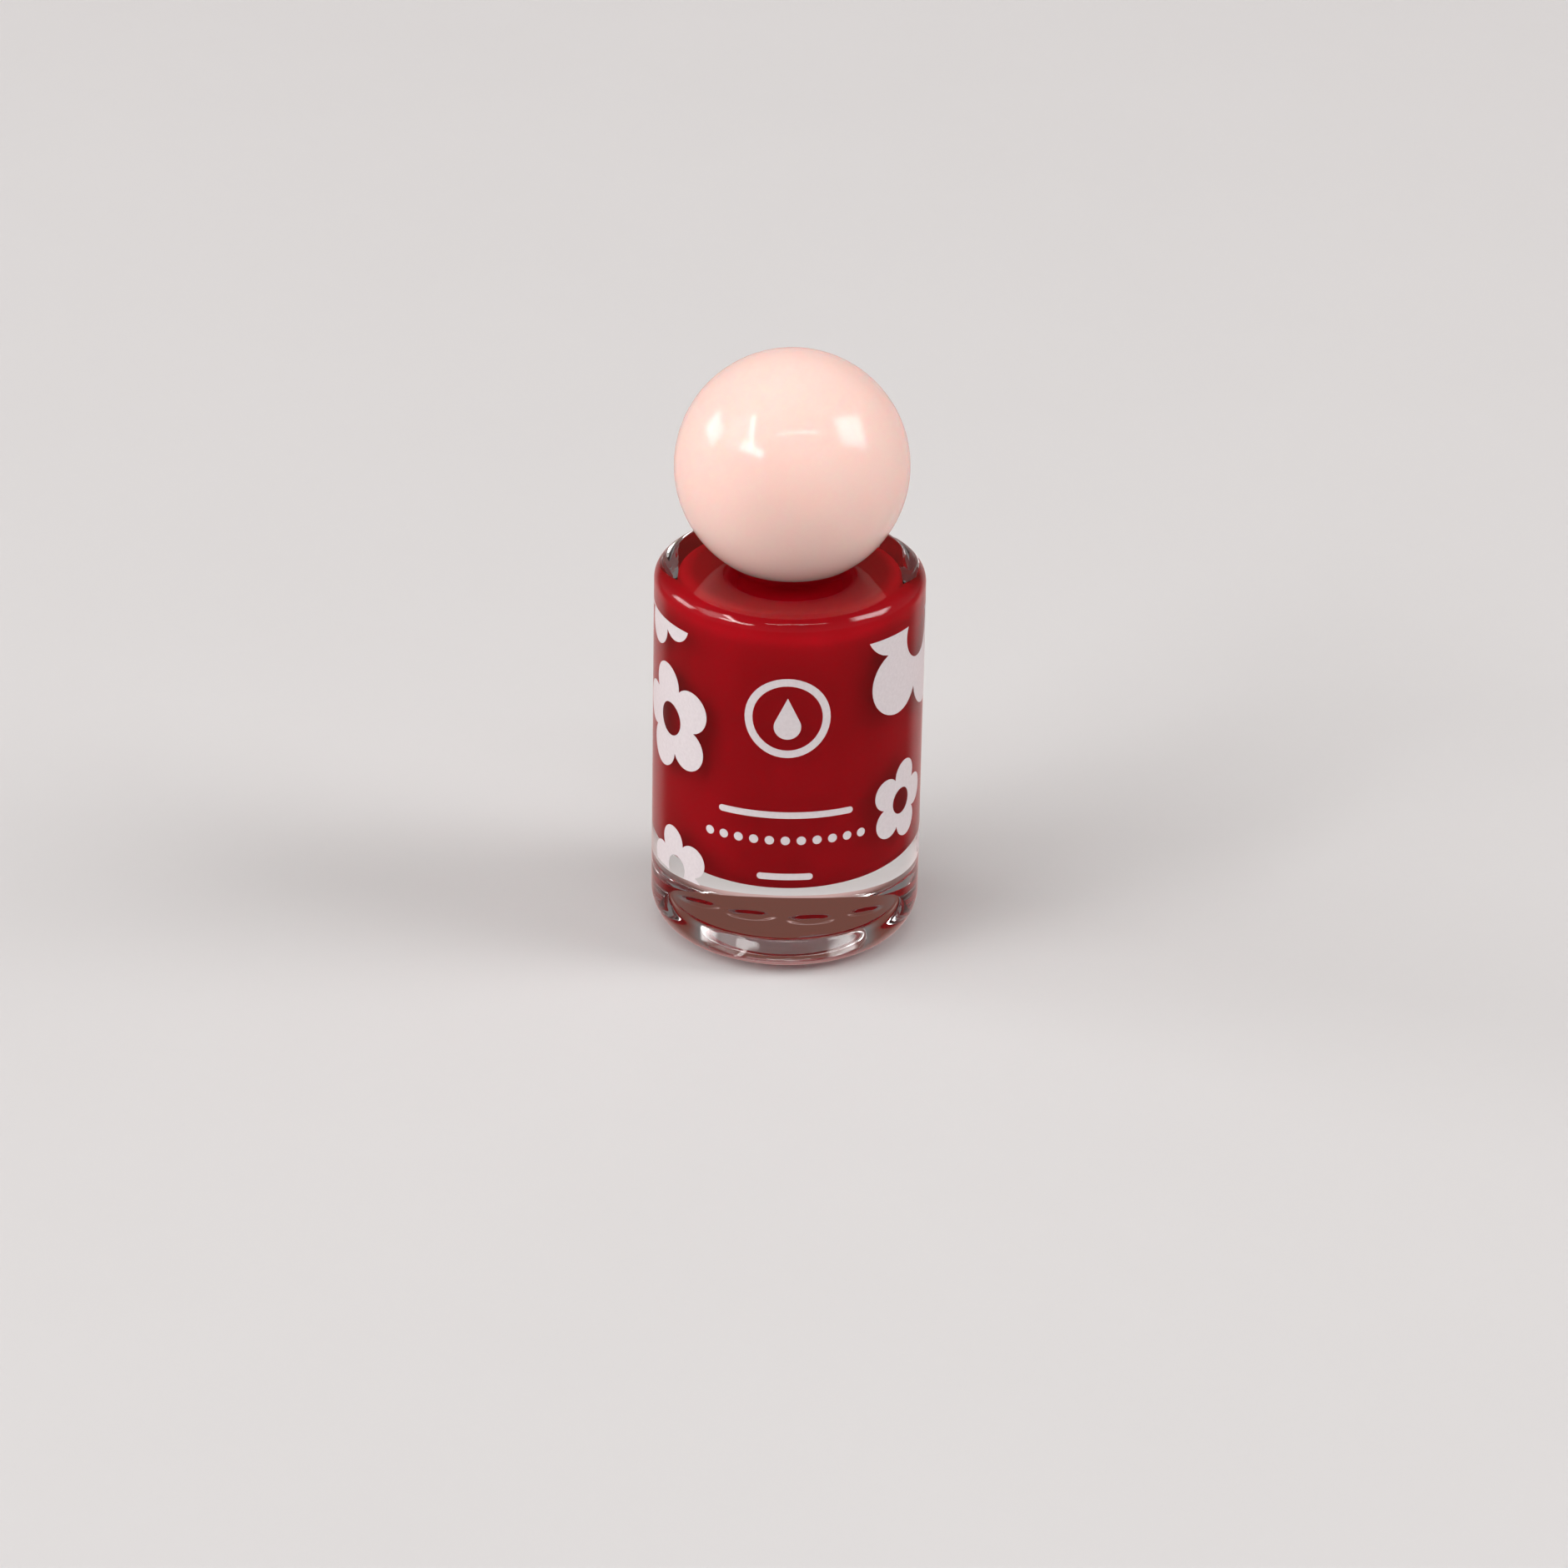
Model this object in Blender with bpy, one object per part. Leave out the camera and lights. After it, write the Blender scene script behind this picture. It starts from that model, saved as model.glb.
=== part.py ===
"""Nail polish bottle with a ball cap, standing on its base at the origin, +Z up, front towards -Y.

The glass, the lacquer and the two mixing balls stay put. Everything else hangs on the cap's axis:
the sealing washer rises with the cap, and the ball, inner cap and brush also turn when unscrewed.
"""

import math

import bmesh
import bpy
from mathutils import Vector

MM = 0.001

# Clearances
FIT_GAP = 0.30 * MM              # between pieces that touch on the real bottle
PRESS_GAP = 0.25 * MM            # between the inner cap's skirt and the ball it is pressed into

# Glass body
BODY_RADIUS = 14.5 * MM
BODY_HEIGHT = 42.3 * MM          # from the bearing ring to the flat shoulder
HEEL_RADIUS = 4.3 * MM
SHOULDER_RADIUS = 2.06 * MM
BEARING_INNER_RADIUS = 8.8 * MM
RECESS_DEPTH = 2.7 * MM
RECESS_SLOPE = 0.6 * MM          # width of the slope round the recess
WALL = 2.6 * MM
FLOOR_THICKNESS = 8.8 * MM
CEILING_THICKNESS = 2.2 * MM
CAVITY_TOP_ROUND = 1.8 * MM
CAVITY_BOTTOM_ROUND = 5.0 * MM
CAVITY_RADIUS = BODY_RADIUS - WALL
CEILING_Z = BODY_HEIGHT - CEILING_THICKNESS

# Neck finish, nominal 13 mm
NECK_HEIGHT = 11.3 * MM
LIP_Z = BODY_HEIGHT + NECK_HEIGHT
NECK_RADIUS = 5.7 * MM
NECK_BORE_RADIUS = 3.6 * MM
NECK_FILLET = 0.8 * MM
LIP_OUTER_ROUND = 0.5 * MM
LIP_INNER_ROUND = 0.4 * MM
BORE_FLARE_ROUND = 1.5 * MM
THREAD_PITCH = 2.117 * MM
THREAD_TURNS = 1.6
THREAD_BOTTOM_WIDTH = 1.25 * MM
THREAD_CREST_WIDTH = 0.45 * MM
THREAD_BURY = 0.12 * MM          # how far the ridge's foot reaches into the wall
THREAD_FADE = 0.125              # turns over which the ridge runs out at each end
THREAD_END_SHARE = 0.06          # height left at the very ends, of the full height
NECK_THREAD_HEIGHT = 0.55 * MM
NECK_THREAD_START = 4.4 * MM     # above the shoulder
CREST_CLEARANCE = 0.08 * MM      # lets the two threads pass each other

# Lacquer and mixing balls
LACQUER_LEVEL = 35.0 * MM
LACQUER_FILM = 0.35 * MM         # wet film above the level
BRUSH_HOLE_RADIUS = 2.6 * MM
BRUSH_HOLE_MARGIN = 0.6 * MM     # below the brush's tip
MIXING_BALL_RADIUS = 2.0 * MM
MIXING_BALL_RING = 6.5 * MM
MIXING_BALL_ANGLES = (25.0, 150.0)

# Ball cap
BALL_RADIUS = 12.5 * MM
BALL_CENTRE = 11.35 * MM         # above the shoulder

# Inner cap
SKIRT_RADIUS = 7.05 * MM
SKIRT_INNER_RADIUS = 6.6 * MM
SKIRT_CLEARANCE = 1.3 * MM       # from the shoulder to the skirt's lower end
CAP_PLATE = 1.2 * MM
SOCKET_RADIUS = 2.3 * MM
SOCKET_WALL = 0.9 * MM
SOCKET_DEPTH = 3.9 * MM
SOCKET_ROOF = 1.0 * MM
CAP_CHAMFER = 0.4 * MM
CAP_MOUTH_CHAMFER = 0.15 * MM

# Sealing washer
WASHER_THICKNESS = 0.8 * MM
WASHER_RADIUS = 6.2 * MM

# Brush
STEM_TOP_RADIUS = 2.0 * MM
STEM_TIP_RADIUS = 1.75 * MM
STEM_TIP_ROUND = 0.35 * MM
FLANGE_RADIUS = 4.9 * MM
FLANGE_THICKNESS = 0.7 * MM
STEM_LENGTH = 29.5 * MM          # from the flange's underside to the tip
TUFT_SOCKET_RADIUS = 1.2 * MM
TUFT_SOCKET_DEPTH = 5.0 * MM
TUFT_LENGTH = 14.5 * MM          # free length below the stem's tip
TUFT_MAX_RADIUS = 1.9 * MM
TUFT_TIP_HEIGHT = 2.6 * MM
TUFT_ROOT_DEPTH = 3.3 * MM
TUFT_THROAT_RADIUS = 1.52 * MM
TUFT_THROAT_LENGTH = 1.2 * MM
STAPLE_SIZE = (1.7 * MM, 0.35 * MM, 1.1 * MM)
STAPLE_BEVEL = 0.06 * MM
BARB_RADIUS = 0.12 * MM
BARB_HEIGHT = 1.6 * MM           # above the flange

# Facets
SEGMENTS = 40
SMALL_SEGMENTS = 24
SPHERE_SEGMENTS = 16
SPHERE_RINGS = 10
BALL_STEPS = 18
HEEL_STEPS = 6
SHOULDER_STEPS = 5
ROUND_STEPS = 4
SMALL_ROUND_STEPS = 3
TUFT_STEPS = 6
MERGE_DISTANCE = 1e-6
SHARP_ANGLE = math.radians(35.0)


def clear_scene():
    for obj in list(bpy.data.objects):
        bpy.data.objects.remove(obj, do_unlink=True)


def arc(centre_r, centre_z, radius, start, end, steps):
    """Points of a profile's arc, angles in degrees from +R towards +Z."""
    points = []
    for step in range(steps + 1):
        angle = math.radians(start + (end - start) * step / steps)
        points.append((centre_r + radius * math.cos(angle), centre_z + radius * math.sin(angle)))
    return points


def new_object(name, mesh, parent=None):
    obj = bpy.data.objects.new(name, mesh)
    bpy.context.collection.objects.link(obj)
    obj.parent = parent
    return obj


def mesh_from_bmesh(name, work):
    bmesh.ops.recalc_face_normals(work, faces=work.faces)
    mesh = bpy.data.meshes.new(name)
    work.to_mesh(mesh)
    work.free()
    mesh.shade_smooth()
    mesh.set_sharp_from_angle(angle=SHARP_ANGLE)
    return mesh


def turned_mesh(name, profile, segments, closed=False):
    """Spins a profile of (radius, height) points once round Z."""
    work = bmesh.new()
    chain = [work.verts.new((r, 0.0, z)) for r, z in profile]
    pairs = list(zip(chain, chain[1:]))
    if closed:
        pairs.append((chain[-1], chain[0]))
    edges = [work.edges.new(pair) for pair in pairs]
    bmesh.ops.spin(work, geom=chain + edges, cent=(0, 0, 0), axis=(0, 0, 1),
                   angle=2 * math.pi, steps=segments, use_merge=True)
    bmesh.ops.remove_doubles(work, verts=work.verts, dist=MERGE_DISTANCE)
    return mesh_from_bmesh(name, work)


def principled(name, colour, roughness, metallic=0.0, transmission=0.0):
    material = bpy.data.materials.new(name)
    material.use_nodes = True
    shader = material.node_tree.nodes["Principled BSDF"]
    shader.inputs["Base Color"].default_value = (*colour, 1.0)
    shader.inputs["Roughness"].default_value = roughness
    shader.inputs["Metallic"].default_value = metallic
    shader.inputs["Transmission Weight"].default_value = transmission
    return material


def finish_piece(obj, material):
    obj.data.materials.append(material)
    return obj


def hide_cutter(obj):
    obj.hide_render = True
    obj.display_type = "WIRE"


def add_boolean(obj, other, operation):
    hide_cutter(other)
    modifier = obj.modifiers.new(other.name, "BOOLEAN")
    modifier.operation = operation
    modifier.solver = "EXACT"
    modifier.object = other


def thread_ridge(name, root_radius, crest_radius, start_z, parent=None):
    """Right-handed helical ridge that fades out at both ends."""
    steps = int(SEGMENTS * THREAD_TURNS)
    work = bmesh.new()
    rings = []
    for step in range(steps + 1):
        angle = 2 * math.pi * step / SEGMENTS
        height = start_z + THREAD_PITCH * step / SEGMENTS
        from_end = min(step, steps - step) / SEGMENTS
        ends = min(1.0, THREAD_END_SHARE + from_end / THREAD_FADE)
        crest = root_radius + (crest_radius - root_radius) * ends
        bury = root_radius - math.copysign(THREAD_BURY, crest_radius - root_radius)
        section = ((bury, -THREAD_BOTTOM_WIDTH / 2), (crest, -THREAD_CREST_WIDTH / 2),
                   (crest, THREAD_CREST_WIDTH / 2), (bury, THREAD_BOTTOM_WIDTH / 2))
        turn = Vector((math.cos(angle), math.sin(angle), 0.0))
        rings.append([work.verts.new(turn * r + Vector((0, 0, height + dz))) for r, dz in section])
    for low, high in zip(rings, rings[1:]):
        for side in range(4):
            after = (side + 1) % 4
            work.faces.new((low[side], low[after], high[after], high[side]))
    work.faces.new(rings[0])
    work.faces.new(rings[-1])
    bmesh.ops.triangulate(work, faces=work.faces)
    return new_object(name, mesh_from_bmesh(name, work), parent)


def recess_profile():
    """Flat recess under the base, from the axis to the bearing ring."""
    foot = BEARING_INNER_RADIUS
    return [(0.0, RECESS_DEPTH), (foot - RECESS_SLOPE, RECESS_DEPTH), (foot, 0.0)]


def glass_profile():
    heel_r = BODY_RADIUS - HEEL_RADIUS
    shoulder_r = BODY_RADIUS - SHOULDER_RADIUS
    lip_out = NECK_RADIUS - LIP_OUTER_ROUND
    lip_in = NECK_BORE_RADIUS + LIP_INNER_ROUND
    flare_r = NECK_BORE_RADIUS + BORE_FLARE_ROUND
    top_r = CAVITY_RADIUS - CAVITY_TOP_ROUND
    bottom_r = CAVITY_RADIUS - CAVITY_BOTTOM_ROUND
    profile = recess_profile()
    profile += arc(heel_r, HEEL_RADIUS, HEEL_RADIUS, -90, 0, HEEL_STEPS)
    profile += arc(shoulder_r, BODY_HEIGHT - SHOULDER_RADIUS, SHOULDER_RADIUS, 0, 90, SHOULDER_STEPS)
    profile += arc(NECK_RADIUS + NECK_FILLET, BODY_HEIGHT + NECK_FILLET, NECK_FILLET,
                   270, 180, SMALL_ROUND_STEPS)
    profile += arc(lip_out, LIP_Z - LIP_OUTER_ROUND, LIP_OUTER_ROUND, 0, 90, SMALL_ROUND_STEPS)
    profile += arc(lip_in, LIP_Z - LIP_INNER_ROUND, LIP_INNER_ROUND, 90, 180, SMALL_ROUND_STEPS)
    profile += arc(flare_r, CEILING_Z + BORE_FLARE_ROUND, BORE_FLARE_ROUND,
                   180, 270, SMALL_ROUND_STEPS)
    profile += arc(top_r, CEILING_Z - CAVITY_TOP_ROUND, CAVITY_TOP_ROUND, 90, 0, ROUND_STEPS)
    profile += arc(bottom_r, FLOOR_THICKNESS + CAVITY_BOTTOM_ROUND, CAVITY_BOTTOM_ROUND,
                   0, -90, ROUND_STEPS)
    profile.append((0.0, FLOOR_THICKNESS))
    return profile


def glass_bottle():
    bottle = new_object("glass_bottle", turned_mesh("glass_bottle", glass_profile(), SEGMENTS))
    thread = thread_ridge("neck_thread", NECK_RADIUS, NECK_RADIUS + NECK_THREAD_HEIGHT,
                          BODY_HEIGHT + NECK_THREAD_START)
    add_boolean(bottle, thread, "UNION")
    finish_piece(bottle, principled("clear_glass", (0.95, 0.96, 0.96), 0.02, transmission=1.0))


def lacquer_profile(hole_bottom):
    outer = CAVITY_RADIUS - FIT_GAP
    top = CEILING_Z - FIT_GAP
    top_r = CAVITY_RADIUS - CAVITY_TOP_ROUND
    round_z = CEILING_Z - CAVITY_TOP_ROUND
    top_round = CAVITY_TOP_ROUND - FIT_GAP
    bottom_r = CAVITY_RADIUS - CAVITY_BOTTOM_ROUND
    bottom_round = CAVITY_BOTTOM_ROUND - FIT_GAP
    film_end = NECK_BORE_RADIUS + BORE_FLARE_ROUND
    profile = [(0.0, FLOOR_THICKNESS + FIT_GAP)]
    profile += arc(bottom_r, FLOOR_THICKNESS + CAVITY_BOTTOM_ROUND, bottom_round,
                   -90, 0, ROUND_STEPS)
    profile += arc(top_r, round_z, top_round, 0, 90, ROUND_STEPS)
    profile += [(film_end, top), (film_end, top - LACQUER_FILM)]
    profile += arc(top_r, round_z, top_round - LACQUER_FILM, 90, 0, ROUND_STEPS)
    profile += [(outer - LACQUER_FILM, LACQUER_LEVEL), (BRUSH_HOLE_RADIUS, LACQUER_LEVEL)]
    profile += [(BRUSH_HOLE_RADIUS, hole_bottom), (0.0, hole_bottom)]
    return profile


def ball_centre(angle):
    turn = math.radians(angle)
    height = FLOOR_THICKNESS + FIT_GAP + MIXING_BALL_RADIUS
    return Vector((MIXING_BALL_RING * math.cos(turn), MIXING_BALL_RING * math.sin(turn), height))


def sphere_mesh(name, radius):
    work = bmesh.new()
    bmesh.ops.create_uvsphere(work, u_segments=SPHERE_SEGMENTS, v_segments=SPHERE_RINGS, radius=radius)
    return mesh_from_bmesh(name, work)


def mixing_balls():
    steel = principled("stainless_steel", (0.62, 0.62, 0.63), 0.15, metallic=1.0)
    mesh = sphere_mesh("mixing_ball", MIXING_BALL_RADIUS)
    mesh.materials.append(steel)
    for number, angle in enumerate(MIXING_BALL_ANGLES, start=1):
        ball = new_object(f"mixing_ball_{number}", mesh)
        ball.location = ball_centre(angle)


def nail_lacquer(hole_bottom):
    mesh = turned_mesh("nail_lacquer", lacquer_profile(hole_bottom), SEGMENTS)
    lacquer = new_object("nail_lacquer", mesh)
    for number, angle in enumerate(MIXING_BALL_ANGLES, start=1):
        room = new_object(f"ball_room_{number}", sphere_mesh("ball_room", MIXING_BALL_RADIUS + FIT_GAP))
        room.location = ball_centre(angle)
        add_boolean(lacquer, room, "DIFFERENCE")
    finish_piece(lacquer, principled("red_lacquer", (0.33, 0.002, 0.004), 0.12))


def axis_empty(name, height, parent=None):
    empty = bpy.data.objects.new(name, None)
    bpy.context.collection.objects.link(empty)
    empty.parent = parent
    empty.location = (0.0, 0.0, height)
    return empty


# Heights of the cap's pieces are measured from the shoulder, where the cap's axis empties stand.
WASHER_Z = NECK_HEIGHT + FIT_GAP
FLANGE_Z = WASHER_Z + WASHER_THICKNESS + FIT_GAP
PLATE_Z = FLANGE_Z + FLANGE_THICKNESS + FIT_GAP
PLATE_TOP = PLATE_Z + CAP_PLATE
SOCKET_TOP = PLATE_Z + SOCKET_DEPTH
STEM_TIP_Z = FLANGE_Z - STEM_LENGTH
TUFT_TIP_Z = STEM_TIP_Z - TUFT_LENGTH


def sealing_washer(parent):
    inner = STEM_TOP_RADIUS + FIT_GAP
    top = WASHER_Z + WASHER_THICKNESS
    profile = [(inner, WASHER_Z), (WASHER_RADIUS, WASHER_Z), (WASHER_RADIUS, top), (inner, top)]
    mesh = turned_mesh("sealing_washer", profile, SEGMENTS, closed=True)
    washer = new_object("sealing_washer", mesh, parent)
    finish_piece(washer, principled("foam_liner", (0.86, 0.86, 0.84), 0.7))


def inner_cap_profile():
    bottom = SKIRT_CLEARANCE
    boss = SOCKET_RADIUS + SOCKET_WALL
    roof = SOCKET_TOP + SOCKET_ROOF
    profile = [(0.0, roof), (boss - CAP_CHAMFER, roof), (boss, roof - CAP_CHAMFER)]
    profile += [(boss, PLATE_TOP), (SKIRT_RADIUS - CAP_CHAMFER, PLATE_TOP)]
    profile += [(SKIRT_RADIUS, PLATE_TOP - CAP_CHAMFER), (SKIRT_RADIUS, bottom)]
    profile += [(SKIRT_INNER_RADIUS + CAP_MOUTH_CHAMFER, bottom)]
    profile += [(SKIRT_INNER_RADIUS, bottom + CAP_MOUTH_CHAMFER), (SKIRT_INNER_RADIUS, PLATE_Z)]
    profile += [(SOCKET_RADIUS, PLATE_Z), (SOCKET_RADIUS, SOCKET_TOP), (0.0, SOCKET_TOP)]
    return profile


def inner_cap(parent):
    cap = new_object("inner_cap", turned_mesh("inner_cap", inner_cap_profile(), SEGMENTS), parent)
    crest = NECK_RADIUS + NECK_THREAD_HEIGHT + CREST_CLEARANCE
    thread = thread_ridge("cap_thread", SKIRT_INNER_RADIUS, crest,
                          NECK_THREAD_START - THREAD_PITCH / 2, parent)
    add_boolean(cap, thread, "UNION")
    finish_piece(cap, principled("inner_cap_plastic", (0.78, 0.5, 0.44), 0.4))


def ball_profile():
    bore = SKIRT_RADIUS + PRESS_GAP
    rim = bore + CAP_MOUTH_CHAMFER
    drop = math.sqrt(BALL_RADIUS ** 2 - rim ** 2)
    cut = math.degrees(math.atan2(drop, rim))
    boss = SOCKET_RADIUS + SOCKET_WALL + FIT_GAP
    roof = SOCKET_TOP + SOCKET_ROOF + FIT_GAP
    bottom = BALL_CENTRE - drop
    profile = [(0.0, BALL_CENTRE + BALL_RADIUS)]
    profile += arc(0.0, BALL_CENTRE, BALL_RADIUS, 90, -cut, BALL_STEPS)[1:]
    profile += [(bore, bottom), (bore, PLATE_TOP + FIT_GAP), (boss, PLATE_TOP + FIT_GAP)]
    profile += [(boss, roof), (0.0, roof)]
    return profile


def ball_overcap(parent):
    mesh = turned_mesh("ball_overcap", ball_profile(), SEGMENTS)
    ball = new_object("ball_overcap", mesh, parent)
    finish_piece(ball, principled("pink_gloss_plastic", (0.86, 0.55, 0.47), 0.08))


def stem_profile():
    plug_top = SOCKET_TOP - FIT_GAP
    barb_z = FLANGE_Z + FLANGE_THICKNESS + BARB_HEIGHT
    flange_top = FLANGE_Z + FLANGE_THICKNESS
    socket_top = STEM_TIP_Z + TUFT_SOCKET_DEPTH
    profile = [(0.0, socket_top), (TUFT_SOCKET_RADIUS, socket_top), (TUFT_SOCKET_RADIUS, STEM_TIP_Z)]
    profile += arc(STEM_TIP_RADIUS - STEM_TIP_ROUND, STEM_TIP_Z + STEM_TIP_ROUND, STEM_TIP_ROUND,
                   -90, 0, SMALL_ROUND_STEPS)
    profile += [(STEM_TOP_RADIUS, FLANGE_Z), (FLANGE_RADIUS, FLANGE_Z), (FLANGE_RADIUS, flange_top)]
    profile += [(STEM_TOP_RADIUS - BARB_RADIUS, flange_top)]
    profile += [(STEM_TOP_RADIUS - BARB_RADIUS, barb_z), (STEM_TOP_RADIUS, barb_z)]
    profile += [(STEM_TOP_RADIUS - 3 * BARB_RADIUS, plug_top), (0.0, plug_top)]
    return profile


def brush_stem(parent):
    mesh = turned_mesh("brush_stem", stem_profile(), SMALL_SEGMENTS)
    stem = new_object("brush_stem", mesh, parent)
    finish_piece(stem, principled("stem_plastic", (0.82, 0.82, 0.8), 0.35))


def tuft_profile():
    root = TUFT_SOCKET_RADIUS - FIT_GAP
    waist = STEM_TIP_Z - FIT_GAP
    dome_z = TUFT_TIP_Z + TUFT_TIP_HEIGHT
    profile = [(0.0, STEM_TIP_Z + TUFT_ROOT_DEPTH), (root, STEM_TIP_Z + TUFT_ROOT_DEPTH), (root, waist)]
    profile.append((TUFT_THROAT_RADIUS, waist - TUFT_THROAT_LENGTH))
    for step in range(TUFT_STEPS):
        angle = math.radians(90.0 * step / TUFT_STEPS)
        radius = TUFT_MAX_RADIUS * math.cos(angle)
        profile.append((radius, dome_z - TUFT_TIP_HEIGHT * math.sin(angle)))
    profile.append((0.0, TUFT_TIP_Z))
    return profile


def bristle_tuft(parent):
    mesh = turned_mesh("bristle_tuft", tuft_profile(), SMALL_SEGMENTS)
    tuft = new_object("bristle_tuft", mesh, parent)
    finish_piece(tuft, principled("nylon_bristle", (0.05, 0.02, 0.02), 0.45))


def brush_staple(parent):
    work = bmesh.new()
    bmesh.ops.create_cube(work, size=1.0)
    bmesh.ops.scale(work, vec=STAPLE_SIZE, verts=work.verts)
    bmesh.ops.bevel(work, geom=work.edges, offset=STAPLE_BEVEL, segments=1, affect="EDGES")
    staple = new_object("brush_staple", mesh_from_bmesh("brush_staple", work), parent)
    top = STEM_TIP_Z + TUFT_SOCKET_DEPTH - FIT_GAP
    staple.location = (0.0, 0.0, top - STAPLE_SIZE[2] / 2)
    finish_piece(staple, principled("staple_wire", (0.6, 0.6, 0.6), 0.3, metallic=1.0))


def build():
    clear_scene()
    glass_bottle()
    mixing_balls()
    nail_lacquer(BODY_HEIGHT + TUFT_TIP_Z - BRUSH_HOLE_MARGIN)
    lift_axis = axis_empty("cap_lift_axis", BODY_HEIGHT)
    turn_axis = axis_empty("cap_turn_axis", 0.0, lift_axis)
    sealing_washer(lift_axis)
    inner_cap(turn_axis)
    ball_overcap(turn_axis)
    brush_stem(turn_axis)
    bristle_tuft(turn_axis)
    brush_staple(turn_axis)


build()
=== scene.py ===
"""Looks of the nail polish bottle: fine turned glass, wet lacquer, ball cap, brush and printed ink.

Lengths in this script are in millimetres and become metres when a mesh is written.
"""

import math

import bmesh
import bpy
import numpy as np
from mathutils import Euler, Matrix, Vector, noise


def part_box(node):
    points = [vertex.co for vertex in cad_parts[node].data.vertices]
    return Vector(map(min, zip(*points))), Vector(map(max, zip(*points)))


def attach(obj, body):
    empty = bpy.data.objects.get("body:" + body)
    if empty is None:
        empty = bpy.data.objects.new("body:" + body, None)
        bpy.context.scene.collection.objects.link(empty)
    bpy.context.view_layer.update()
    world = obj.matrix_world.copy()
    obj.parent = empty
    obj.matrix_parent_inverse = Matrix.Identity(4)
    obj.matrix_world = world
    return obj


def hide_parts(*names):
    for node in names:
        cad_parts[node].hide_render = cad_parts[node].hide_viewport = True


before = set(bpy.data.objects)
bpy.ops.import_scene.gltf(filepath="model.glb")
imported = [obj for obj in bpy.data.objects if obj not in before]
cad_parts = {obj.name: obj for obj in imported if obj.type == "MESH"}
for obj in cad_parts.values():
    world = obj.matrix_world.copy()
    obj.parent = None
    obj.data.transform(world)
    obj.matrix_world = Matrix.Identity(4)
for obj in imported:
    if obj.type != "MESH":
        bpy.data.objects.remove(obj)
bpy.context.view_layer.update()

MM = 0.001


def box_mm(node):
    low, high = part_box(node)
    return Vector(low) / MM, Vector(high) / MM


GLASS_HIGH = box_mm("glass_bottle")[1]
LACQUER_LOW, LACQUER_HIGH = box_mm("nail_lacquer")
BALL_HIGH = box_mm("ball_overcap")[1]
CAP_LOW, CAP_HIGH = box_mm("inner_cap")
WASHER_LOW, WASHER_HIGH = box_mm("sealing_washer")
STEM_LOW, STEM_HIGH = box_mm("brush_stem")
TUFT_LOW, TUFT_HIGH = box_mm("bristle_tuft")

# Glass
CAD_GAP = 0.3
INK_THICKNESS = 0.02
INK_SINK = 0.004
GLASS_RADIUS = GLASS_HIGH.x - INK_THICKNESS
LIP_Z = GLASS_HIGH.z
NECK_HEIGHT = 11.3
SHOULDER_Z = LIP_Z - NECK_HEIGHT
HEEL_RADIUS = 4.3
SHOULDER_RADIUS = 1.7
BEARING_INNER = 8.8
BEARING_OUTER = GLASS_RADIUS - HEEL_RADIUS
RECESS_DEPTH = 2.7
RECESS_SLOPE = 1.2
# Mould marks in the recess: middle across and back, half width and half depth
BASE_MARKS = ((-5.2, 2.6, 1.4, 1.5), (-2.2, 0.6, 1.9, 2.0), (1.9, -0.6, 1.9, 2.0), (5.4, 1.0, 1.3, 1.4))
BASE_MARK_HEIGHT = 0.25
BASE_MARK_TOP = 0.45
KNURLS = 64
KNURL_DEPTH = 0.12
KNURL_INNER = BEARING_INNER + 0.3
KNURL_OUTER = BEARING_OUTER - 0.1
NECK_RADIUS = 5.7
BORE_RADIUS = 3.6
NECK_FILLET = 0.8
LIP_ROUND = 0.5
BORE_ROUND = 0.4
FLARE_ROUND = 1.5
THREAD_PITCH = 2.117
THREAD_TURNS = 1.6
THREAD_START = SHOULDER_Z + 4.4
THREAD_HEIGHT = 0.55
THREAD_FOOT = 1.25
THREAD_CREST = 0.45
THREAD_FADE = 0.12
THREAD_ROOM_Z = SHOULDER_Z + 2
GLASS_SEGMENTS = 256

# Cavity, from the lacquer that fills it
CAVITY_RADIUS = LACQUER_HIGH.x + CAD_GAP
CEILING_Z = LACQUER_HIGH.z + CAD_GAP
FLOOR_Z = LACQUER_LOW.z - CAD_GAP
CAVITY_TOP_ROUND = 1.8
CAVITY_BOTTOM_ROUND = 5.0

# Lacquer
WETTING = 0.02
FILM = 0.3
LEVEL_Z = 35.0
MENISCUS = 0.6
FILM_TOP_Z = CEILING_Z + 5.5
FILM_LIP = FILM * 0.4
FILM_RUN = 2.2
LACQUER_SEGMENTS = 160

# Ball and inner cap
BALL_RADIUS = BALL_HIGH.x
BALL_CENTRE_Z = BALL_HIGH.z - BALL_RADIUS
BALL_BORE = 7.12
BALL_RIM = 7.2
BALL_RIM_EDGE = 0.03
CAP_RADIUS = CAP_HIGH.x
CAP_WALL = 0.45
CAP_INNER = CAP_RADIUS - CAP_WALL
CAP_CHAMFER = 0.4
CAP_MOUTH = 0.15
CAP_THREAD_HEIGHT = 0.27
CAP_RIBS = 60
RIB_HEIGHT = 0.05
RIB_FOOT_Z = CAP_LOW.z + 2
PLATE_Z = STEM_HIGH.z - 3.6
PLATE_TOP_Z = PLATE_Z + 1.2
SOCKET_TOP_Z = STEM_HIGH.z + CAD_GAP
SOCKET_RADIUS = 2.3
BOSS_RADIUS = 3.2

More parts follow.
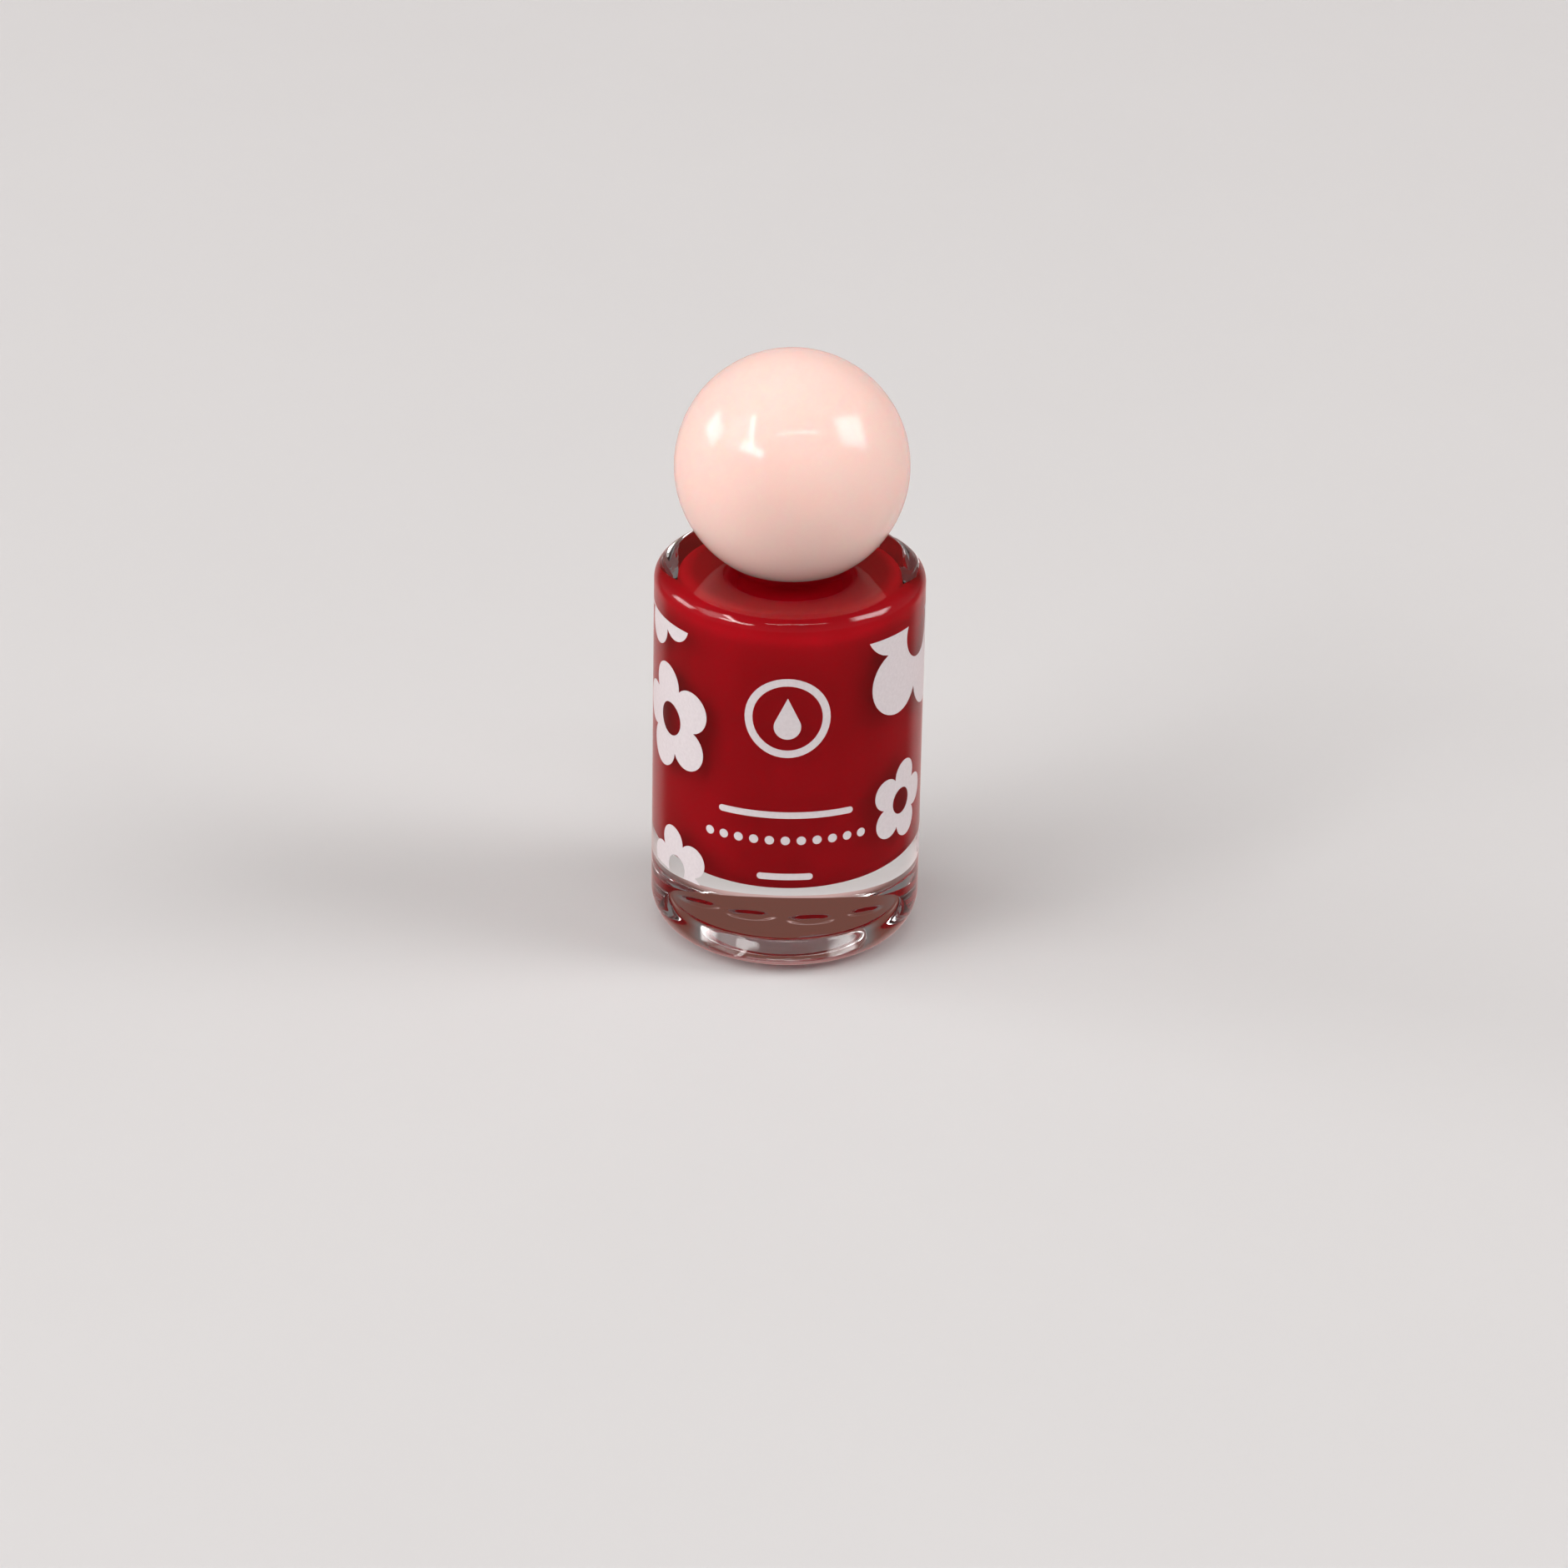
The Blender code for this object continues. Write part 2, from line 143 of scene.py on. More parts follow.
# Brush
STEM_TIP_Z = STEM_LOW.z
STEM_TIP_RADIUS = 1.75
STEM_RADIUS = 2.0
FLANGE_RADIUS = STEM_HIGH.x
FLANGE_Z = WASHER_HIGH.z + CAD_GAP
FLANGE_THICKNESS = 0.7
BARB_DEPTH = 0.12
BARB_HEIGHT = 1.6
TUFT_SOCKET = 1.2
TUFT_SOCKET_DEPTH = 5.0
TUFT_ROOT_RADIUS = 1.05
TUFT_ROOT_DEPTH = 3.2
TUFT_RADIUS = TUFT_HIGH.x
TUFT_SPREAD = TUFT_RADIUS * 0.93
TUFT_TIP_Z = TUFT_LOW.z
FILAMENTS = 190
FILAMENT_RADIUS = 0.07
FILAMENT_TIP = 0.45

# Printed band, unrolled: distance round the glass from the front, and height
PRINT_BOTTOM = 9.45
PRINT_TOP = 38.5
PETALS = 5
PETAL_SHARE = 0.383
FLOWER_HOLE = 0.3
STRIP = 0.3

# Two radii closer than this are the same surface
ON_SURFACE = 0.01


# ---------------------------------------------------------------- mesh tools


def arc(centre_r, centre_z, radius, start, end, steps):
    """Points of a profile's arc, angles in degrees from outward towards up."""
    angles = [math.radians(start + (end - start) * step / steps) for step in range(steps + 1)]
    return [(centre_r + radius * math.cos(a), centre_z + radius * math.sin(a)) for a in angles]


def run(start, end, steps):
    """Evenly spaced points after start, up to and including end."""
    parts = [step / steps for step in range(1, steps + 1)]
    return [(start[0] + (end[0] - start[0]) * t, start[1] + (end[1] - start[1]) * t) for t in parts]


def new_piece(name, work, body, material, sharp=35.0):
    """Writes a bmesh in millimetres to a piece that rides on a body."""
    bmesh.ops.scale(work, vec=(MM, MM, MM), verts=work.verts)
    bmesh.ops.recalc_face_normals(work, faces=work.faces)
    mesh = bpy.data.meshes.new(name)
    work.to_mesh(mesh)
    work.free()
    mesh.shade_smooth()
    mesh.set_sharp_from_angle(angle=math.radians(sharp))
    piece = bpy.data.objects.new(name, mesh)
    bpy.context.collection.objects.link(piece)
    mesh.materials.append(material)
    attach(piece, body)
    return piece


def turned(profile, segments, shape=None, closed=False):
    """Surface of revolution. shape(r, z, angle) may move each point: it returns a new r and z."""
    work = bmesh.new()
    rings = []
    for r, z in profile:
        if r == 0.0:
            rings.append([work.verts.new((0.0, 0.0, z))] * segments)
            continue
        ring = []
        for step in range(segments):
            angle = 2 * math.pi * step / segments
            at_r, at_z = shape(r, z, angle) if shape else (r, z)
            ring.append(work.verts.new((at_r * math.cos(angle), at_r * math.sin(angle), at_z)))
        rings.append(ring)
    pairs = list(zip(rings, rings[1:]))
    if closed:
        pairs.append((rings[-1], rings[0]))
    for first, second in pairs:
        for step in range(segments):
            after = (step + 1) % segments
            corners = [first[step], first[after], second[after], second[step]]
            work.faces.new(list(dict.fromkeys(corners)))
    return work


def smooth_step(value, low, high):
    t = min(1.0, max(0.0, (value - low) / (high - low)))
    return t * t * (3 - 2 * t)


def thread_bulge(z, angle, start_z):
    """How far a thread of 0..1 stands out at this height and angle, fading at both ends."""
    best = 0.0
    for lap in range(int(THREAD_TURNS) + 2):
        turns = angle / (2 * math.pi) + lap
        if turns > THREAD_TURNS:
            break
        off = abs(z - start_z - THREAD_PITCH * turns)
        ridge = 1.0 - smooth_step(off, THREAD_CREST / 2, THREAD_FOOT / 2)
        ends = smooth_step(min(turns, THREAD_TURNS - turns), 0.0, THREAD_FADE)
        best = max(best, ridge * ends)
    return best


# ---------------------------------------------------------------- node tools


def new_material(name):
    material = bpy.data.materials.new(name)
    material.use_nodes = True
    return material, material.node_tree, material.node_tree.nodes["Principled BSDF"]


def noise_field(tree, feature_mm, detail=3.0, stretch=(1.0, 1.0, 1.0)):
    """Noise in the piece's own coordinates, with features of about this size."""
    place = tree.nodes.new("ShaderNodeTexCoord")
    mapping = tree.nodes.new("ShaderNodeMapping")
    mapping.inputs["Scale"].default_value = stretch
    field = tree.nodes.new("ShaderNodeTexNoise")
    field.inputs["Scale"].default_value = 1.0 / (feature_mm * MM)
    field.inputs["Detail"].default_value = detail
    tree.links.new(place.outputs["Object"], mapping.inputs["Vector"])
    tree.links.new(mapping.outputs["Vector"], field.inputs["Vector"])
    return field.outputs["Fac"]


def height_field(tree, low_mm, high_mm, ragged_mm=0.0, feature_mm=1.5):
    """0 below low, 1 above high, with a ragged edge."""
    place = tree.nodes.new("ShaderNodeTexCoord")
    split = tree.nodes.new("ShaderNodeSeparateXYZ")
    tree.links.new(place.outputs["Object"], split.inputs["Vector"])
    height = split.outputs["Z"]
    if ragged_mm:
        wobble = tree.nodes.new("ShaderNodeMath")
        wobble.operation = "MULTIPLY_ADD"
        wobble.inputs[1].default_value = ragged_mm * MM
        tree.links.new(noise_field(tree, feature_mm), wobble.inputs[0])
        tree.links.new(height, wobble.inputs[2])
        height = wobble.outputs["Value"]
    spread = tree.nodes.new("ShaderNodeMapRange")
    spread.inputs["From Min"].default_value = low_mm * MM
    spread.inputs["From Max"].default_value = high_mm * MM
    tree.links.new(height, spread.inputs["Value"])
    return spread.outputs["Result"]


def blend_colours(tree, factor, low, high):
    mix = tree.nodes.new("ShaderNodeMix")
    mix.data_type = "RGBA"
    sockets = [s for s in mix.inputs if s.type == "RGBA"]
    for socket, colour in zip(sockets, (low, high)):
        if isinstance(colour, tuple):
            socket.default_value = (*colour, 1.0)
        else:
            tree.links.new(colour, socket)
    tree.links.new(factor, mix.inputs["Factor"])
    return [s for s in mix.outputs if s.type == "RGBA"][0]


def spread_values(tree, factor, low, high):
    spread = tree.nodes.new("ShaderNodeMapRange")
    spread.inputs["To Min"].default_value = low
    spread.inputs["To Max"].default_value = high
    tree.links.new(factor, spread.inputs["Value"])
    return spread.outputs["Result"]


def bump(tree, shader, height, depth_mm, strength=1.0):
    node = tree.nodes.new("ShaderNodeBump")
    node.inputs["Strength"].default_value = strength
    node.inputs["Distance"].default_value = depth_mm * MM
    tree.links.new(height, node.inputs["Height"])
    tree.links.new(node.outputs["Normal"], shader.inputs["Normal"])


def paint(tree, shader, socket, value):
    tree.links.new(value, shader.inputs[socket])


# ---------------------------------------------------------------- materials


def glass_material():
    """Clear soda glass with the faint waviness of a fire-polished bottle."""
    material, tree, shader = new_material("clear_glass")
    shader.inputs["Transmission Weight"].default_value = 1.0
    shader.inputs["IOR"].default_value = 1.5
    tint = blend_colours(tree, noise_field(tree, 9.0), (0.965, 0.975, 0.97), (0.985, 0.99, 0.985))
    paint(tree, shader, "Base Color", tint)
    paint(tree, shader, "Roughness", spread_values(tree, noise_field(tree, 2.5), 0.0, 0.02))
    bump(tree, shader, noise_field(tree, 5.0, 1.0), 0.06, 0.35)
    return material


LACQUER_DEEP = (0.42, 0.0012, 0.006)
LACQUER_LIT = (0.56, 0.003, 0.012)


def lacquer_colour(tree):
    """Settled pigment: faint vertical drifts in a saturated red."""
    return blend_colours(tree, noise_field(tree, 6.0, 2.0, (1, 1, 0.35)), LACQUER_DEEP, LACQUER_LIT)


def lacquer_behind_glass():
    """Lacquer wetting the glass, where there is next to no reflection of its own."""
    material, tree, shader = new_material("red_lacquer_behind_glass")
    shader.inputs["Specular IOR Level"].default_value = 0.0
    paint(tree, shader, "Base Color", lacquer_colour(tree))
    paint(tree, shader, "Roughness", spread_values(tree, noise_field(tree, 3.0), 0.35, 0.5))
    bump(tree, shader, noise_field(tree, 1.2), 0.02, 0.3)
    return material


def lacquer_in_air():
    """The free surface of the lacquer and what clings to the brush."""
    material, tree, shader = new_material("red_lacquer_in_air")
    shader.inputs["Coat Weight"].default_value = 0.6
    shader.inputs["Coat Roughness"].default_value = 0.03
    paint(tree, shader, "Base Color", lacquer_colour(tree))
    paint(tree, shader, "Roughness", spread_values(tree, noise_field(tree, 2.0), 0.08, 0.2))
    bump(tree, shader, noise_field(tree, 1.6, 1.0), 0.03, 0.4)
    return material


def ball_material():
    """High-gloss moulded plastic, a little translucent, with the faintest orange peel."""
    material, tree, shader = new_material("pink_gloss_plastic")
    shader.inputs["Subsurface Weight"].default_value = 0.8
    shader.inputs["Subsurface Radius"].default_value = (1.0, 0.22, 0.16)
    shader.inputs["Subsurface Scale"].default_value = 5.0 * MM
    shader.inputs["Specular IOR Level"].default_value = 0.3
    shader.inputs["Coat Weight"].default_value = 0.12
    shader.inputs["Coat Roughness"].default_value = 0.02
    colour = blend_colours(tree, noise_field(tree, 7.0), (0.93, 0.635, 0.565), (0.95, 0.67, 0.605))
    paint(tree, shader, "Base Color", colour)
    paint(tree, shader, "Roughness", spread_values(tree, noise_field(tree, 1.5), 0.08, 0.16))
    bump(tree, shader, noise_field(tree, 2.2, 2.0), 0.012, 0.25)
    return material


def ink_material():
    """Pale screen-printed ink: satin, with the mesh's fine grain."""
    material, tree, shader = new_material("printed_ink")
    colour = blend_colours(tree, noise_field(tree, 0.35), (0.66, 0.585, 0.6), (0.79, 0.72, 0.735))
    paint(tree, shader, "Base Color", colour)
    paint(tree, shader, "Roughness", spread_values(tree, noise_field(tree, 0.5), 0.3, 0.5))
    bump(tree, shader, noise_field(tree, 0.22, 2.0), 0.006, 0.5)
    return material


def moulded_plastic(name, low, high, roughness):
    """Satin injection-moulded plastic."""
    material, tree, shader = new_material(name)
    paint(tree, shader, "Base Color", blend_colours(tree, noise_field(tree, 3.0), low, high))
    spread = spread_values(tree, noise_field(tree, 0.6), roughness - 0.06, roughness + 0.08)
    paint(tree, shader, "Roughness", spread)
    bump(tree, shader, noise_field(tree, 0.25), 0.01, 0.4)
    return material


def foam_material():
    """Expanded liner foam with closed cells."""
    material, tree, shader = new_material("washer_foam")
    cells = tree.nodes.new("ShaderNodeTexVoronoi")
    cells.inputs["Scale"].default_value = 1.0 / (0.3 * MM)
    place = tree.nodes.new("ShaderNodeTexCoord")
    tree.links.new(place.outputs["Object"], cells.inputs["Vector"])
    colour = blend_colours(tree, cells.outputs["Distance"], (0.74, 0.74, 0.72), (0.86, 0.86, 0.84))
    paint(tree, shader, "Base Color", colour)
    paint(tree, shader, "Roughness", spread_values(tree, cells.outputs["Distance"], 0.6, 0.85))
    bump(tree, shader, cells.outputs["Distance"], 0.05, 0.6)
    return material


def stem_material():
    """White stem, red and wet where it has stood in the lacquer."""
    material, tree, shader = new_material("stem_plastic")
    shader.inputs["Coat Weight"].default_value = 0.3
    shader.inputs["Coat Roughness"].default_value = 0.05
    dry = height_field(tree, LEVEL_Z + 0.4, LEVEL_Z + 0.9, 2.4)
    white = blend_colours(tree, noise_field(tree, 3.0), (0.78, 0.78, 0.76), (0.84, 0.84, 0.82))
    paint(tree, shader, "Base Color", blend_colours(tree, dry, lacquer_colour(tree), white))
    paint(tree, shader, "Roughness", spread_values(tree, dry, 0.12, 0.38))
    bump(tree, shader, noise_field(tree, 0.8), 0.02, 0.4)
    return material


def bristle_material():
    """Dark nylon filaments, darker at the root and stained by the lacquer."""
    material, tree, shader = new_material("bristle_nylon")
    clean = height_field(tree, STEM_TIP_Z - 4.5, STEM_TIP_Z - 1.5, 2.0, 0.5)
    dark = blend_colours(tree, noise_field(tree, 0.2), (0.02, 0.015, 0.015), (0.06, 0.04, 0.04))
    stained = blend_colours(tree, noise_field(tree, 0.4), LACQUER_DEEP, LACQUER_LIT)
    paint(tree, shader, "Base Color", blend_colours(tree, clean, stained, dark))
    paint(tree, shader, "Roughness", spread_values(tree, noise_field(tree, 0.4), 0.2, 0.4))
    bump(tree, shader, noise_field(tree, 0.12), 0.01, 0.4)
    return material


def steel_material(name, roughness):
    """Bare metal with fine scratches."""
    material, tree, shader = new_material(name)
    shader.inputs["Metallic"].default_value = 1.0
    scratches = noise_field(tree, 0.3, 4.0, (1, 1, 8))
    paint(tree, shader, "Base Color", blend_colours(tree, scratches, (0.5, 0.5, 0.51), (0.68, 0.68, 0.68)))
    paint(tree, shader, "Roughness", spread_values(tree, scratches, roughness, roughness + 0.15))
    bump(tree, shader, scratches, 0.005, 0.3)
    return material


# ---------------------------------------------------------------- glass bottle


def recess_points():
    """Flat recess under the base, falling in an easy curve to the bearing ring."""
    flat = BEARING_INNER - RECESS_SLOPE
    points = [(0.0, RECESS_DEPTH)] + run((0.0, RECESS_DEPTH), (flat, RECESS_DEPTH), 44)
    steps = 10
    for step in range(1, steps + 1):
        fall = 1.0 - smooth_step(step / steps, 0.0, 1.0)
        points.append((flat + RECESS_SLOPE * step / steps, RECESS_DEPTH * fall))
    return points


def glass_profile():
    heel_r = GLASS_RADIUS - HEEL_RADIUS
    shoulder_r = GLASS_RADIUS - SHOULDER_RADIUS
    shoulder_z = SHOULDER_Z - SHOULDER_RADIUS
    neck_foot = (NECK_RADIUS + NECK_FILLET, SHOULDER_Z)
    lip_out = NECK_RADIUS - LIP_ROUND
    bore_lip = BORE_RADIUS + BORE_ROUND
    flare_r = BORE_RADIUS + FLARE_ROUND
    top_r = CAVITY_RADIUS - CAVITY_TOP_ROUND
    low_r = CAVITY_RADIUS - CAVITY_BOTTOM_ROUND
    low_z = FLOOR_Z + CAVITY_BOTTOM_ROUND
    points = recess_points()
    points += run(points[-1], (BEARING_OUTER, 0.0), 10)
    points += arc(heel_r, HEEL_RADIUS, HEEL_RADIUS, -90, 0, 24)[1:]
    points += run(points[-1], (GLASS_RADIUS, shoulder_z), 12)
    points += arc(shoulder_r, shoulder_z, SHOULDER_RADIUS, 0, 90, 20)[1:]
    points += run(points[-1], neck_foot, 8)
    points += arc(neck_foot[0], SHOULDER_Z + NECK_FILLET, NECK_FILLET, 270, 180, 8)[1:]
    points += run(points[-1], (NECK_RADIUS, LIP_Z - LIP_ROUND), 90)
    points += arc(lip_out, LIP_Z - LIP_ROUND, LIP_ROUND, 0, 90, 8)[1:]
    points += arc(bore_lip, LIP_Z - BORE_ROUND, BORE_ROUND, 90, 180, 8)
    points += run(points[-1], (BORE_RADIUS, CEILING_Z + FLARE_ROUND), 12)
    points += arc(flare_r, CEILING_Z + FLARE_ROUND, FLARE_ROUND, 180, 270, 12)[1:]
    points += arc(top_r, CEILING_Z - CAVITY_TOP_ROUND, CAVITY_TOP_ROUND, 90, 0, 14)
    points += run(points[-1], (CAVITY_RADIUS, low_z), 8)
    points += arc(low_r, low_z, CAVITY_BOTTOM_ROUND, 0, -90, 16)[1:]
    points += run(points[-1], (low_r * 0.1, FLOOR_Z), 8)
    return points + [(0.0, FLOOR_Z)]


def base_mark_height(x, y):
    """Mould marks in the recess: a plain row of oval pads."""
    rise = 0.0
    for at_x, at_y, half_width, half_depth in BASE_MARKS:
        distance = math.hypot((x - at_x) / half_width, (y - at_y) / half_depth)
        rise = max(rise, 1.0 - smooth_step(distance, BASE_MARK_TOP, 1.0))
    return BASE_MARK_HEIGHT * rise


def shape_glass(r, z, angle):
    """Adds the neck thread, the knurled bearing ring and the mould marks to the turned form."""
    if THREAD_ROOM_Z < z < LIP_Z - LIP_ROUND and r > NECK_RADIUS - ON_SURFACE:
        return r + THREAD_HEIGHT * thread_bulge(z, angle, THREAD_START), z
    if z == RECESS_DEPTH and r < BEARING_INNER:
        return r, z - base_mark_height(r * math.cos(angle), r * math.sin(angle))
    if z == 0.0 and KNURL_INNER < r < KNURL_OUTER:
        wave = 0.5 + 0.5 * math.cos(KNURLS * angle)
        return r, KNURL_DEPTH * smooth_step(wave, 0.2, 0.8)
    return r, z


def make_glass(material):
    work = turned(glass_profile(), GLASS_SEGMENTS, shape_glass)
    piece = new_piece("bottle_glass", work, "bottle", material, 60.0)
    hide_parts("glass_bottle")


# ---------------------------------------------------------------- lacquer


def wetted_profile():
    """Where the lacquer wets the glass, from the middle of the floor up to the film's edge in the neck."""
    outer = CAVITY_RADIUS + WETTING
    top_round = CAVITY_TOP_ROUND + WETTING
    top_r = CAVITY_RADIUS - CAVITY_TOP_ROUND
    low_r = CAVITY_RADIUS - CAVITY_BOTTOM_ROUND
    low_round = CAVITY_BOTTOM_ROUND + WETTING
    round_z = CEILING_Z - CAVITY_TOP_ROUND
    flare = (BORE_RADIUS + FLARE_ROUND, CEILING_Z + FLARE_ROUND)
    bore = BORE_RADIUS + WETTING
    points = [(0.0, FLOOR_Z - WETTING), (low_r * 0.5, FLOOR_Z - WETTING)]
    points += arc(low_r, FLOOR_Z + CAVITY_BOTTOM_ROUND, low_round, -90, 0, 16)
    points += run(points[-1], (outer, round_z), 10)
    points += arc(top_r, round_z, top_round, 0, 90, 14)[1:]
    points += arc(*flare, FLARE_ROUND - WETTING, 270, 180, 10)
    return points + run(points[-1], (bore, FILM_TOP_Z), 8)


def open_profile():
    """The lacquer's free surface: down the film inside the neck and the wall to the level."""
    top_r = CAVITY_RADIUS - CAVITY_TOP_ROUND
    round_z = CEILING_Z - CAVITY_TOP_ROUND
    flare = (BORE_RADIUS + FLARE_ROUND, CEILING_Z + FLARE_ROUND)
    bore = BORE_RADIUS + WETTING
    points = [(bore - FILM_LIP, FILM_TOP_Z)]
    points += run(points[-1], (bore - FILM, flare[1]), 8)
    points += arc(*flare, FLARE_ROUND + FILM, 180, 270, 10)[1:]
    points += arc(top_r, round_z, CAVITY_TOP_ROUND - FILM, 90, 0, 10)
    inner = CAVITY_RADIUS - FILM
    points += arc(inner - MENISCUS, LEVEL_Z + MENISCUS, MENISCUS, 0, -90, 8)
    points += run(points[-1], (1.0, LEVEL_Z), 8)
    return points + [(0.0, LEVEL_Z)]


def shape_lacquer(r, z, angle):
    """The film's upper edge in the neck runs down unevenly."""
    flare_z = CEILING_Z + FLARE_ROUND
    if z > flare_z and r > BORE_RADIUS - 1.5 * FILM_LIP:
        wave = noise.noise(Vector((2.2 * math.cos(angle), 2.2 * math.sin(angle), 3.0)))
        share = (z - flare_z) / (FILM_TOP_Z - flare_z)
        return r, z + share * FILM_RUN * wave
    return r, z


def make_lacquer(behind_glass, in_air):
    """One closed body. Its faces follow the profile: those after the wetted part are the free surface."""
    wetted = wetted_profile()
    work = turned(wetted + open_profile(), LACQUER_SEGMENTS, shape_lacquer)
    piece = new_piece("lacquer_fill", work, "bottle", behind_glass, 40.0)
    piece.data.materials.append(in_air)
    for face in piece.data.polygons[len(wetted) * LACQUER_SEGMENTS:]:
        face.material_index = 1
    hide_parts("nail_lacquer")


# ---------------------------------------------------------------- cap


def ball_profile():
    drop = math.sqrt(BALL_RADIUS ** 2 - BALL_RIM ** 2)
    cut = math.degrees(math.atan2(drop, BALL_RIM))
    bottom = BALL_CENTRE_Z - drop
    boss = BOSS_RADIUS + CAD_GAP
    points = [(0.0, BALL_CENTRE_Z + BALL_RADIUS)]
    points += arc(0.0, BALL_CENTRE_Z, BALL_RADIUS, 90, -cut, 96)[1:]
    points += [(BALL_BORE, bottom + BALL_RIM_EDGE)]
    points += run(points[-1], (BALL_BORE, PLATE_TOP_Z + CAD_GAP), 12)
    points += [(boss, PLATE_TOP_Z + CAD_GAP), (boss, CAP_HIGH.z + CAD_GAP)]
    return points + [(0.0, CAP_HIGH.z + CAD_GAP)]


def make_ball(material):
    work = turned(ball_profile(), 192)
    piece = new_piece("ball_shell", work, "cap", material)
    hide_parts("ball_overcap")


def cap_profile():
    boss_foot = 0.3
    points = [(0.0, CAP_HIGH.z), (BOSS_RADIUS - CAP_CHAMFER, CAP_HIGH.z)]
    points += [(BOSS_RADIUS, CAP_HIGH.z - CAP_CHAMFER), (BOSS_RADIUS, PLATE_TOP_Z + boss_foot)]
    points += [(BOSS_RADIUS + boss_foot, PLATE_TOP_Z), (CAP_RADIUS - CAP_CHAMFER, PLATE_TOP_Z)]
    points += [(CAP_RADIUS, PLATE_TOP_Z - CAP_CHAMFER)]
    points += run(points[-1], (CAP_RADIUS, CAP_LOW.z + 0.1), 10)
    points += [(CAP_RADIUS - 0.06, CAP_LOW.z + 0.02), (CAP_INNER + CAP_MOUTH, CAP_LOW.z)]
    points += [(CAP_INNER, CAP_LOW.z + CAP_MOUTH)]
    points += run(points[-1], (CAP_INNER, PLATE_Z), 96)
    points += [(SOCKET_RADIUS, PLATE_Z), (SOCKET_RADIUS, SOCKET_TOP_Z)]
    return points + [(0.0, SOCKET_TOP_Z)]


def shape_cap(r, z, angle):
    """Grip ribs outside and the thread inside."""
    if abs(r - CAP_INNER) < ON_SURFACE and CAP_LOW.z + 0.5 < z < PLATE_Z - 0.5:
        return r - CAP_THREAD_HEIGHT * thread_bulge(z, angle, THREAD_START - THREAD_PITCH / 2), z
    if abs(r - CAP_RADIUS) < ON_SURFACE and RIB_FOOT_Z < z:
        return r + RIB_HEIGHT * smooth_step(math.cos(CAP_RIBS * angle), -0.3, 0.3), z
    return r, z


def make_inner_cap(material):
    work = turned(cap_profile(), 240, shape_cap)
    piece = new_piece("threaded_inner_cap", work, "cap", material)
    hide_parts("inner_cap")


def make_washer(material):
    inner = STEM_RADIUS + CAD_GAP
    outer = WASHER_HIGH.x
    low, high = WASHER_LOW.z, WASHER_HIGH.z
    edge = 0.12
    points = run((inner, low + edge), (inner + edge, low), 2)
    points += run(points[-1], (outer - edge, low), 10)
    points += [(outer, low + edge), (outer, high - edge), (outer - edge, high)]
    points += run(points[-1], (inner + edge, high), 10)
    points += [(inner, high - edge)]
    work = turned(points, 128, closed=True)
    piece = new_piece("foam_washer", work, "washer", material)
    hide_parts("sealing_washer")


# ---------------------------------------------------------------- brush


def stem_profile():
    flange_top = FLANGE_Z + FLANGE_THICKNESS
    socket_top = STEM_TIP_Z + TUFT_SOCKET_DEPTH
    barb_z = flange_top + BARB_HEIGHT
    plug = STEM_RADIUS - BARB_DEPTH
    tip_round, fillet, edge = 0.35, 0.3, 0.1
    points = [(0.0, socket_top), (TUFT_SOCKET, socket_top)]
    points += run(points[-1], (TUFT_SOCKET, STEM_TIP_Z + edge), 6)
    points += [(TUFT_SOCKET + edge, STEM_TIP_Z)]
    points += arc(STEM_TIP_RADIUS - tip_round, STEM_TIP_Z + tip_round, tip_round, -90, 0, 6)
    points += run(points[-1], (STEM_RADIUS, FLANGE_Z - fillet), 30)
    points += arc(STEM_RADIUS + fillet, FLANGE_Z - fillet, fillet, 180, 90, 4)[1:]
    points += [(FLANGE_RADIUS - edge, FLANGE_Z), (FLANGE_RADIUS, FLANGE_Z + edge)]
    points += [(FLANGE_RADIUS, flange_top - edge), (FLANGE_RADIUS - edge, flange_top)]
    points += [(plug, flange_top), (plug, barb_z), (STEM_RADIUS, barb_z)]
    points += [(plug - 2 * BARB_DEPTH, STEM_HIGH.z)]
    return points + [(0.0, STEM_HIGH.z)]


def make_stem(material):
    work = turned(stem_profile(), 96)
    piece = new_piece("brush_stem_fine", work, "cap", material)
    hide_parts("brush_stem")


def filament_path(share, turn, length_share):
    """Points of one filament from its root: straight in the socket, swelling, then closing a little."""
    away = Vector((share * math.cos(turn), share * math.sin(turn), 0.0))
    points = [away * TUFT_ROOT_RADIUS + Vector((0.0, 0.0, STEM_TIP_Z + TUFT_ROOT_DEPTH))]
    length = (STEM_TIP_Z - TUFT_TIP_Z) * length_share
    steps = 8
    for step in range(steps + 1):
        t = step / steps
        swell = TUFT_ROOT_RADIUS + (TUFT_SPREAD - TUFT_ROOT_RADIUS) * math.sin(t * 1.9)
        points.append(away * swell + Vector((0.0, 0.0, STEM_TIP_Z - length * t)))
    return points


def add_tube(work, path, radius, sides=6):
    rings = []
    for number, point in enumerate(path):
        at_tip = FILAMENT_TIP if number == len(path) - 1 else 1.0
        ring = []
        for side in range(sides):
            angle = 2 * math.pi * side / sides
            offset = Vector((math.cos(angle), math.sin(angle), 0.0)) * radius * at_tip
            ring.append(work.verts.new(point + offset))
        rings.append(ring)
    for low, high in zip(rings, rings[1:]):
        for side in range(sides):
            after = (side + 1) % sides
            work.faces.new((low[side], low[after], high[after], high[side]))
    work.faces.new(rings[0])
    work.faces.new(rings[-1])


